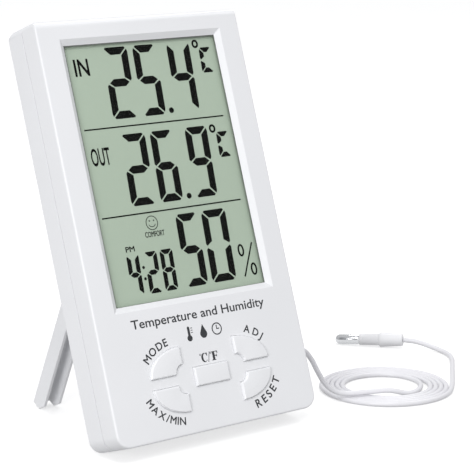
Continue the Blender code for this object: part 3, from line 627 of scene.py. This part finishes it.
def make_lead():
    """The lead in one piece, and its length in metres."""
    route = [LEAD_IN_GROMMET] + LEAD_ROUTE + coil_points() + TAIL_ROUTE
    curve = bpy.data.curves.new("probe_lead", "CURVE")
    curve.dimensions = "3D"
    curve.bevel_depth = LEAD_RADIUS * MM
    curve.bevel_resolution = 5
    curve.resolution_u = 5
    curve.use_fill_caps = True
    spline = curve.splines.new("BEZIER")
    spline.bezier_points.add(len(route) - 1)
    for target, point in zip(spline.bezier_points, route):
        target.co = Vector(point) * MM
        target.handle_left_type = "AUTO"
        target.handle_right_type = "AUTO"
    lead = bpy.data.objects.new("probe_lead", curve)
    curve.materials.append(FINISHES["lead"])
    bpy.context.scene.collection.objects.link(lead)
    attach(lead, "case")
    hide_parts("lead_to_coil", "lead_coil", "lead_to_probe")
    return lead, spline.calc_length()


def make_probe():
    """The sleeve and the steel tip, lying on the table along the probe's heading."""
    heading = Matrix.Rotation(PROBE_HEADING + math.pi / 2, 4, "Z")
    dip = Matrix.Rotation(math.pi / 2 + PROBE_DIP, 4, "X")
    place = Matrix.Translation(PROBE_COLLAR) @ (heading @ dip)
    sleeve = piece("probe_sleeve_moulding", turned(SLEEVE), "sleeve", place=place,
                   replaces=["probe_sleeve"], smooth=45)
    nose = [(TIP_RADIUS * math.sin(i * math.pi / 20), TIP_NOSE + TIP_RADIUS * math.cos(i * math.pi / 20))
            for i in range(1, 11)]
    tip = piece("probe_tip_tube", turned([(0, TIP_NOSE + TIP_RADIUS), *nose, *TIP_FOOT]), "probe",
                place=place, replaces=["probe_tip"], smooth=45)
    return sleeve, tip


# ---------------------------------------------------------------- display

def segment_outlines(width, height, thick):
    """The seven strokes of a digit, with mitred ends, in the digit's own box."""
    unit = thick / DRAWN_STROKE
    middle = height / 2

    def corner(points, top):
        return [(x * unit, top + z * unit) for x, z in points]

    def mirrored(outline):
        return [(width - x, z) for x, z in outline]

    def flipped(outline):
        return [(x, height - z) for x, z in outline]

    crown_end = corner([(2.9, -2.5), (0.75, -0.5), (1.2, 0)], height)
    crown = crown_end + mirrored(crown_end)[::-1]
    upright = corner([(0, -1.7), (0.35, -0.8), (2.55, -2.9)], height)
    upright += corner([(2.55, 1.7), (0.5, 0.35), (0, 0.95)], middle)
    bar_end = corner([(2.65, -1.28), (1.0, 0), (2.65, 1.28)], middle)
    bar = bar_end + mirrored(bar_end)[::-1]
    return {"a": crown, "b": mirrored(upright), "c": flipped(mirrored(upright)), "d": flipped(crown),
            "e": flipped(upright), "f": upright, "g": bar}


def digit(symbol, left, bottom, right, top, thick):
    """A slanted seven-stroke digit that fills a box."""
    height = top - bottom
    width = right - left - DIGIT_SLANT * height
    strokes = segment_outlines(width, height, thick)
    return [[(left + x + DIGIT_SLANT * z, bottom + z) for x, z in strokes[key]] for key in LIT[symbol]]


def reading(symbols, bottom, top, thick):
    """A row of digits; each is (symbol, left, right)."""
    outlines = []
    for symbol, left, right in symbols:
        outlines += digit(symbol, left, bottom, right, top, thick)
    return flat_shape(outlines, *INK)


def temperature(name, digits, rise, point, unit, unit_rise, degree_z):
    """Three digits with a decimal point, then a degree sign and its letter."""
    parts = [reading(digits, *rise, DIGIT_STROKE),
             flat_shape([disc(point, POINT_RADIUS)], *INK),
             reading([unit], *unit_rise, UNIT_STROKE),
             ring_shape((DEGREE_X, degree_z), DEGREE_RADII, DEGREE_LINE, *INK)]
    piece(name, merged(*parts), "lcd_ink")


def make_display():
    temperature("reading_indoor", digits=[("2", -17.4, -5.8), ("5", -4.5, 6.5), ("4", 10.5, 21.6)],
                rise=(113.5, 139.3), point=(8.05, 114.7), unit=("C", 25.2, 31.0),
                unit_rise=(127.2, 136.6), degree_z=138.1)
    temperature("reading_outdoor", digits=[("2", -17.1, -5.6), ("6", -4.5, 6.3), ("9", 10.9, 21.8)],
                rise=(82.1, 107.8), point=(8.1, 83.2), unit=("C", 25.2, 31.1),
                unit_rise=(95.6, 105.0), degree_z=106.4)
    humidity = [reading([("5", -0.8, 9.7), ("0", 10.6, 22.5)], 50.9, 77.1, DIGIT_STROKE)]
    humidity += [ring_shape(centre, PERCENT_RADII, PERCENT_LINE, *INK) for centre in PERCENT_RINGS]
    humidity.append(flat_shape([stroke(*PERCENT_SLASH)], *INK))
    piece("reading_humidity", merged(*humidity), "lcd_ink")
    clock = [reading([("4", -24.3, -18.6), ("2", -16.8, -10.8), ("8", -10.1, -4.0)], 50.9, 65.6,
                     CLOCK_STROKE),
             flat_shape([disc(centre, COLON_RADIUS) for centre in COLON], *INK)]
    piece("reading_clock", merged(*clock), "lcd_ink")
    left, right = DIVIDER_ENDS
    lines = [flat_shape([stroke((left, z), (right, z), DIVIDER_WIDTH)], *INK) for z in DIVIDERS_Z]
    piece("display_dividers", merged(*lines), "lcd_ink")
    words = [fit_letters(lettering(text, height, bold), left, right, baseline, INK[0])
             for text, height, bold, left, right, baseline in WORDS]
    piece("display_words", merged(*words), "lcd_ink")
    make_comfort_face()


def make_comfort_face():
    """The small smiling face over its word."""
    smile = oval_arc(SMILE_CENTRE, SMILE_RADII, 200, 340, 11)
    face = [ring_shape(FACE_CENTRE, (FACE_RADIUS, FACE_RADIUS), FACE_LINE, *INK),
            flat_shape([disc(eye, EYE_RADIUS, 12) for eye in EYES], *INK),
            flat_shape([stroke(a, b, SMILE_LINE) for a, b in zip(smile, smile[1:])], *INK)]
    piece("comfort_face", merged(*face), "lcd_ink")


def make_lip_shadow_band():
    """A thin dark band on the lens just inside the window's lip, a painted shadow of the lip: widest at
    the top and left, where the lip's shade falls.
    """
    half, low, high = WINDOW
    left, right = SHADOW_BAND_SEEN["left"] - half, half - SHADOW_BAND_SEEN["right"]
    bottom, top = low + SHADOW_BAND_SEEN["bottom"], high - SHADOW_BAND_SEEN["top"]
    wide = half + SHADOW_BAND_HIDDEN
    foot, head = low - SHADOW_BAND_HIDDEN, high + SHADOW_BAND_HIDDEN
    bars = [[(-wide, foot), (wide, foot), (wide, bottom), (-wide, bottom)],
            [(-wide, top), (wide, top), (wide, head), (-wide, head)],
            [(-wide, bottom), (left, bottom), (left, top), (-wide, top)],
            [(right, bottom), (wide, bottom), (wide, top), (right, top)]]
    lip_shadow = flat_shape(bars, LENS_FRONT - 2 * INK_HEIGHT, LENS_FRONT - INK_HEIGHT)
    bmesh.ops.remove_doubles(lip_shadow, verts=lip_shadow.verts, dist=0.0001)
    piece("lip_shadow_band", lip_shadow, "lip_shadow")


# ---------------------------------------------------------------- keys

def petal_outline(side, level, grow):
    """A quarter of an oval with its inner corner scooped out, grown by a margin."""
    notch = PETAL_NOTCH - grow
    lap = math.degrees(math.asin(grow / notch))
    wide, high = PETAL_WIDTH + grow, PETAL_HEIGHT + grow
    scoop = oval_arc((0, 0), (notch, notch), 90 + lap, -lap, 12)
    oval = oval_arc((0, 0), (wide, high), -math.degrees(math.asin(grow / high)),
                    90 + math.degrees(math.asin(grow / wide)), 33)
    return [(side * (PETAL_X + x), KEYS_CENTRE_Z + level * (PETAL_RISE + z)) for x, z in scoop + oval]


def unit_outline(grow):
    wide, high = UNIT_KEY_WIDTH / 2 + grow, UNIT_KEY_HEIGHT / 2 + grow
    corners = [(-wide, -high), (wide, -high), (wide, high), (-wide, high)]
    return [(x, KEYS_CENTRE_Z + z) for x, z in corners]


def loft(rings):
    """A closed solid through outlines in X and Z, each at its own depth: (depth, outline) pairs."""
    bm = bmesh.new()
    rows = [[bm.verts.new((x, y, z)) for x, z in outline] for y, outline in rings]
    bm.faces.new(rows[0])
    bm.faces.new(rows[-1][::-1])
    for a, b in zip(rows, rows[1:]):
        for i in range(len(a)):
            j = (i + 1) % len(a)
            bm.faces.new((a[i], b[i], b[j], a[j]))
    return bm


def key_cap(outline):
    """A cap with drawn-in sides and a soft front edge, and the flange that holds it behind the face.
    The argument gives the key's outline for a margin."""
    rings = [(KEY_FLANGE_FRONT, outline(KEY_FILL)), (0.0, outline(KEY_FILL)),
             (KEY_EDGE - KEY_PROUD, outline(KEY_FILL - KEY_DRAFT))]
    for step in range(1, KEY_EDGE_STEPS + 1):
        turn = math.radians(90 / KEY_EDGE_STEPS * step)
        rings.append((KEY_EDGE - KEY_PROUD - KEY_EDGE * math.sin(turn),
                      outline(KEY_FILL - KEY_DRAFT - KEY_EDGE * (1 - math.cos(turn)))))
    flange = [(KEY_FLANGE_FRONT, outline(KEY_FLANGE)), (KEY_FLANGE_BACK, outline(KEY_FLANGE))]
    return merged(loft(rings), loft(flange))


def make_keys():
    for name, (side, level) in PETALS.items():
        cap = key_cap(partial(petal_outline, side, level))
        piece(f"{name}_cap", cap, "key", f"{name}_button", replaces=[name])
    piece("key_unit_cap", key_cap(unit_outline), "key", "key_unit_button", replaces=["key_unit"])


# ---------------------------------------------------------------- printing on the front face

def arc_label(text, side, level, start, end, height):
    """Letters that follow the oval outline of a key, between two angles of the oval."""
    wide, high = PETAL_WIDTH + LABEL_OFFSET, PETAL_HEIGHT + LABEL_OFFSET
    letters = [lettering(letter, height, bold=LABEL_BOLD) for letter in text]
    widths = [max(v.co.x for v in bm.verts) - min(v.co.x for v in bm.verts) for bm in letters]
    stops = [sum(widths[:i]) + widths[i] / 2 + LABEL_GAP * i for i in range(len(text))]
    track = [math.radians(start + (end - start) * i / LABEL_STEPS) for i in range(LABEL_STEPS + 1)]
    run = [0.0]
    for a, b in zip(track, track[1:]):
        across = wide * (math.cos(b) - math.cos(a))
        up = high * (math.sin(b) - math.sin(a))
        run.append(run[-1] + math.hypot(across, up))
    for bm, stop in zip(letters, stops):
        wanted = (stop - stops[0]) / (stops[-1] - stops[0]) * run[-1]
        misses = [abs(length - wanted) for length in run]
        angle = track[misses.index(min(misses))]
        x = side * (PETAL_X + wide * math.cos(angle))
        z = KEYS_CENTRE_Z + level * (PETAL_RISE + high * math.sin(angle))
        along = Vector((wide * math.sin(angle), -side * level * high * math.cos(angle)))
        bmesh.ops.translate(bm, verts=bm.verts, vec=(0, 0, -height / 2))
        turn = Matrix.Rotation(-math.atan2(along.y, along.x), 3, "Y")
        bmesh.ops.rotate(bm, verts=bm.verts, matrix=turn)
        bmesh.ops.translate(bm, verts=bm.verts, vec=(x, 0, z))
    return merged(*letters)


def serif_c(x, z, height):
    """A heavy C with a thick left side and a slab at its upper end."""
    def bow(wide, high, shift, start, end, step):
        return [(x + height * (shift + wide * math.cos(math.radians(a))),
                 z + height * high * math.sin(math.radians(a))) for a in range(start, end, step)]

    slab = [(x + height * 0.3, z + height * 0.5), (x + height * 0.4, z + height * 0.5),
            (x + height * 0.4, z + height * 0.14), (x + height * 0.34, z + height * 0.14)]
    outer = bow(0.42, 0.52, 0, 60, 325, 11)
    inner = bow(0.26, 0.44, 0.09, 319, 50, -11)
    return outer + inner + slab[::-1]


def serif_f(x, z, height):
    """A heavy F with slab ends, about its middle."""
    points = [(-0.42, -0.5), (0.12, -0.5), (0.12, -0.43), (0.01, -0.4), (0.01, -0.04), (0.18, -0.04),
              (0.24, -0.15), (0.29, -0.15), (0.29, 0.17), (0.24, 0.17), (0.18, 0.05), (0.01, 0.05),
              (0.01, 0.42), (0.27, 0.42), (0.36, 0.22), (0.42, 0.22), (0.42, 0.5), (-0.42, 0.5),
              (-0.42, 0.44), (-0.3, 0.4), (-0.3, -0.4), (-0.42, -0.43)]
    return [(x + a * height, z + b * height) for a, b in points]


def make_printing():
    title = lettering("Temperature and Humidity", TITLE_HEIGHT, bold=0.013)
    piece("title_print", fit_letters(title, -29.2, 29.2, 39.6, 0), "print")
    for label in KEY_LABELS:
        name = label[0].replace("/", "_").lower() + "_print"
        piece(name, arc_label(*label), "print")
    units = [flat_shape([serif_c(-1.55, 25.4, UNIT_HEIGHT), serif_f(2.95, 25.4, UNIT_HEIGHT),
                         stroke((-0.1, 23.6), (0.9, 27.2), 0.22)], *PRINT),
             ring_shape((-3.15, 26.6), (0.3, 0.3), 0.14, *PRINT, 16),
             ring_shape((1.25, 26.6), (0.3, 0.3), 0.14, *PRINT, 16)]
    piece("unit_print", merged(*units), "print")
    make_symbols()


def capsule(centre, half_width, bottom, top, count=10):
    """An upright outline with round ends."""
    round_end = [(half_width * math.cos(math.pi * i / count), half_width * math.sin(math.pi * i / count))
                 for i in range(count + 1)]
    upper = [(centre + x, top - half_width + z) for x, z in round_end]
    lower = [(centre - x, bottom + half_width - z) for x, z in round_end]
    return upper + lower


def drop_outline(x, z, radius):
    """A water drop: a round bottom drawn up to a point."""
    return oval_arc((x, z), (radius, radius), -215, 35, 21) + [(x, z + 2.3 * radius)]


def make_symbols():
    """A plain thermometer, drop and clock between the title and the keys."""
    x, z = -6.0, 34.6
    marks = [stroke((x + 0.9, z + rise), (x + 1.7, z + rise), 0.24) for rise in (0.3, 1.1, 1.9)]
    parts = [flat_shape([disc((x, z - 1.6), 1.1)], *PRINT),
             flat_shape([capsule(x, 0.5, z - 1.7, z + 2.6)], *PRINT_OVER),
             flat_shape(marks, *PRINT),
             flat_shape([drop_outline(0.2, z - 0.9, 1.5)], *PRINT),
             ring_shape((6.2, z), (2.0, 2.0), 0.42, *PRINT),
             flat_shape([stroke((6.2, z - 0.15), (6.2, z + 1.35), 0.36)], *PRINT),
             flat_shape([stroke((6.05, z), (7.25, z), 0.36)], *PRINT_OVER)]
    piece("symbol_print", merged(*parts), "print")


# ---------------------------------------------------------------- screws

def cut(target, shapes, place):
    """Cut shapes from a piece and keep the result as its mesh."""
    for number, bm in enumerate(shapes):
        bmesh.ops.recalc_face_normals(bm, faces=bm.faces)
        mesh = bpy.data.meshes.new("cutter")
        bm.to_mesh(mesh)
        bm.free()
        mesh.transform(Matrix.Scale(MM, 4) @ place)
        tool = bpy.data.objects.new("cutter", mesh)
        bpy.context.scene.collection.objects.link(tool)
        step = target.modifiers.new(f"Cut {number}", "BOOLEAN")
        step.object = tool
        step.operation = "DIFFERENCE"
        bpy.context.view_layer.update()
        graph = bpy.context.evaluated_depsgraph_get()
        result = bpy.data.meshes.new_from_object(target.evaluated_get(graph))
        target.modifiers.clear()
        target.data = result
        bpy.data.objects.remove(tool)


def cross_screw(name, node):
    """A pan-head screw with a thread and a cross recess, in the place of the plain one."""
    to_case = (Matrix.Scale(MM, 4) @ CASE).inverted()
    points = [to_case @ v.co for v in NODES[node].data.vertices]
    x = sum(p.x for p in points) / len(points)
    z = sum(p.z for p in points) / len(points)
    back = max(p.y for p in points)
    tip = min(p.y for p in points)
    profile = [(radius, back + y) for radius, y in SCREW_HEAD]
    y = back - THREAD_START
    while y > tip + THREAD_STOP:
        profile += [(THREAD_RADIUS, y), (THREAD_RADIUS - THREAD_DEPTH, y - THREAD_PITCH / 2)]
        y -= THREAD_PITCH
    profile += [(radius, tip + y) for radius, y in SCREW_TIP]
    place = CASE @ Matrix.Translation((x, 0, z))
    screw = piece(name, turned(profile, 24), "screw",
                  place=place @ Matrix.Rotation(-math.pi / 2, 4, "X"), replaces=[node])
    cutters = []
    for angle in (CROSS_TURN, CROSS_TURN + math.pi / 2):
        reach = Vector((math.cos(angle), math.sin(angle))) * CROSS_REACH
        arm = stroke(tuple(-reach), tuple(reach), CROSS_WIDTH)
        cutters.append(flat_shape([arm], back - CROSS_DEPTH, back + 0.3))
    cut(screw, cutters, place)


FINISHES = make_finishes()
make_camera()
lead, lead_length = make_lead()
sleeve, tip = make_probe()
make_studio()
refined("front_case", "case")
refined("rear_case", "case")
refined("battery_door", "case", "battery_lid", width=0.08)
refined("stand_frame", "frame", "stand", width=0.2)
make_keys()
make_display()
# Painted shadow of the window's lip on the display
make_lip_shadow_band()
make_printing()
for node, finish in PAINTED.items():
    paint(node, finish)
for number in range(1, 5):
    cross_screw(f"case_screw_{number}_cross", f"case_screw_{number}")
    cross_screw(f"board_screw_{number}_cross", f"board_screw_{number}")
